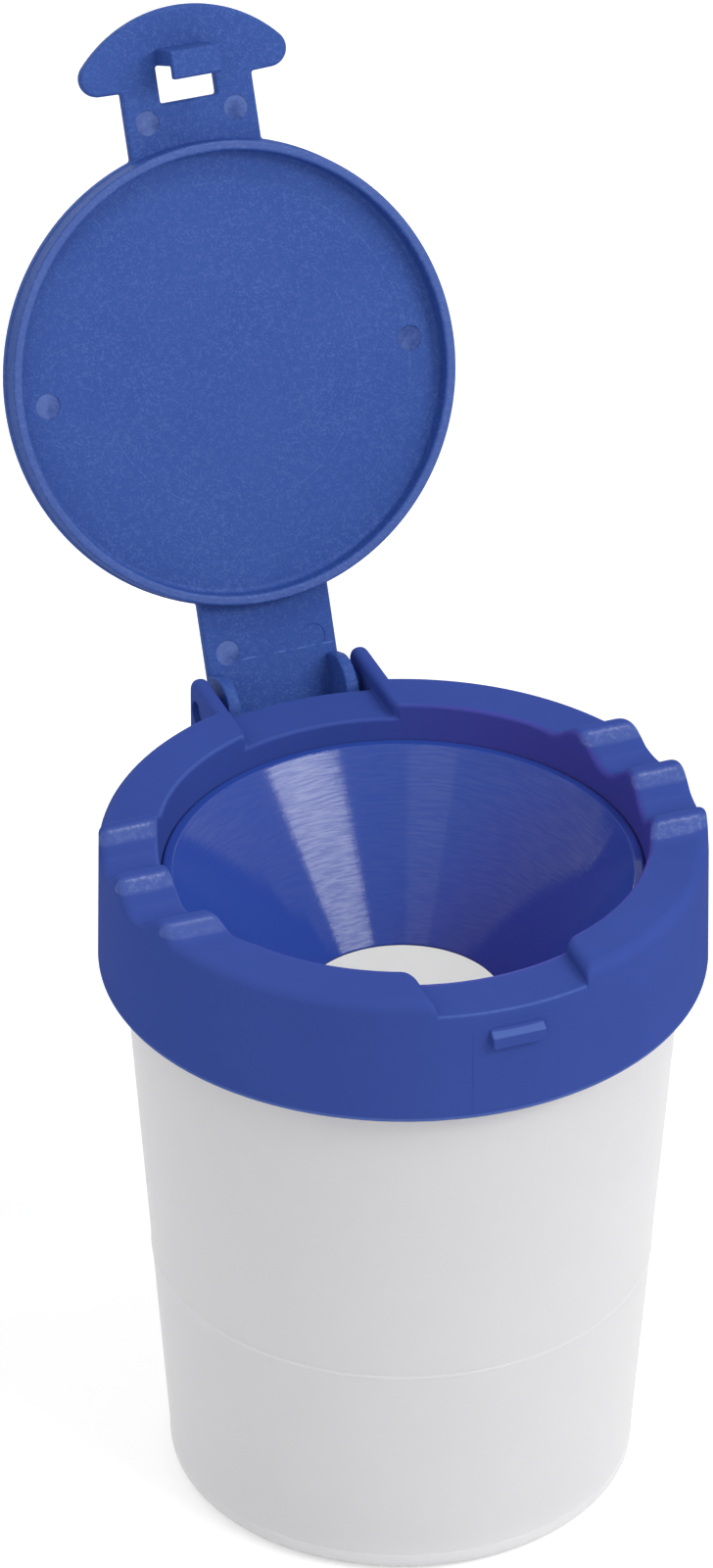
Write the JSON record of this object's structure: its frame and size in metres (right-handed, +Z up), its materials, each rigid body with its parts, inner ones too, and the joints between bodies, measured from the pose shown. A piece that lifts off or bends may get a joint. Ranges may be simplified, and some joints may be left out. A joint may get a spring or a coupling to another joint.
{
  "type": "brush washer with lid",
  "caption": "Translucent cup for washing brushes, with a push-on collar that rests brushes, a funnel insert, and a hinged lid that snaps shut.",
  "frame": {"origin": "centre of the underside of the cup's base", "axes": "+Z up along the cup's axis, +Y towards the hinge, -Y towards the latch, +X to the right seen from the latch"},
  "size_m": [0.084, 0.1329, 0.1852],
  "materials": {
    "cup_natural": "natural translucent polypropylene, milky, satin",
    "collar_blue": "moulded blue plastic, semi-gloss",
    "funnel_blue": "moulded blue plastic, glossier than the collar, with fine turned marks",
    "lid_blue": "moulded blue plastic, fine satin grain on the inside"
  },
  "bodies": {
    "cup": {"cup": "cup_natural"},
    "collar": {"collar": "collar_blue"},
    "funnel": {"funnel": "funnel_blue"},
    "lid": {"lid": "lid_blue"}
  },
  "joints": [
    {"name": "collar_lift", "type": "slide", "parent": "cup", "child": "collar", "axis": [0, 0, 1], "range_m": [0, 0.04]},
    {"name": "funnel_lift", "type": "slide", "parent": "collar", "child": "funnel", "axis": [0, 0, 1], "range_m": [0, 0.045]},
    {"name": "lid_hinge", "type": "hinge", "parent": "collar", "child": "lid", "pos_m": [0, 0.0462, 0.0967], "axis": [1, 0, 0], "range_deg": [0, 114]}
  ]
}
